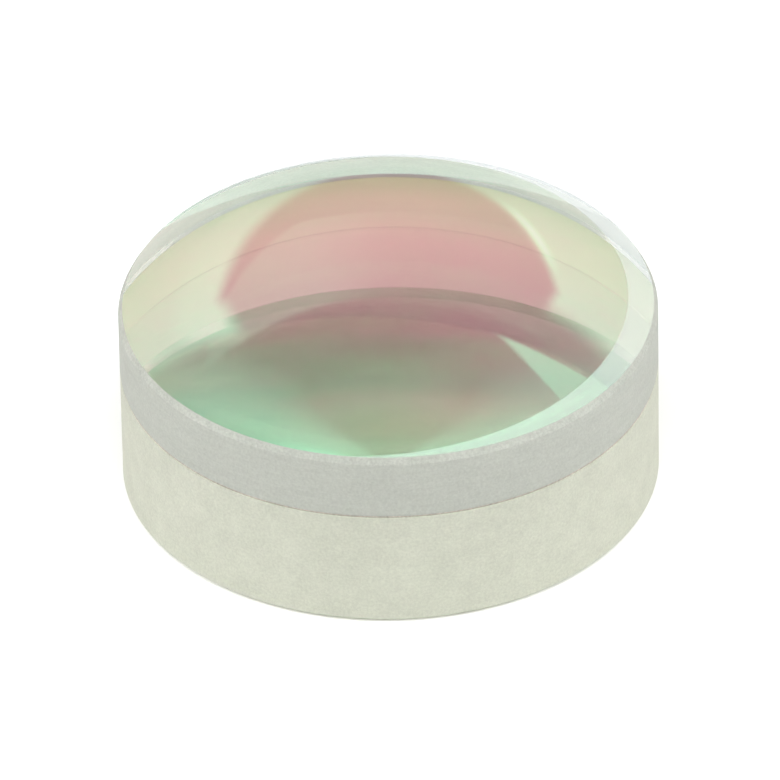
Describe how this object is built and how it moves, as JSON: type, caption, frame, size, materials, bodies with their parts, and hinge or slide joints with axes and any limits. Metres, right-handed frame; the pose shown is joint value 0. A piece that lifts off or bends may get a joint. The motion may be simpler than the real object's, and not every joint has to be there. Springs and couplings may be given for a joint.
{
  "type": "achromatic doublet lens",
  "caption": "Cemented achromatic doublet lens, strong convex face up, with coated polished faces and a matt ground edge.",
  "frame": {"origin": "on the optical axis, at the centre of the ring round the flint's lower face that the lens lies on", "axes": "+Z is the optical axis, towards the crown's strong convex face; X and Y are alike"},
  "size_m": [0.0126, 0.0126, 0.0061],
  "materials": {
    "crown_glass": "polished faces with a pink and green anti-reflection coating, fine ground edge",
    "flint_glass": "polished faces with an anti-reflection coating below, fine ground edge",
    "optical_cement": "clear, faintly warm"
  },
  "bodies": {
    "root": {"crown_element": "crown_glass", "flint_element": "flint_glass", "cement_layer": "optical_cement"}
  },
  "joints": []
}
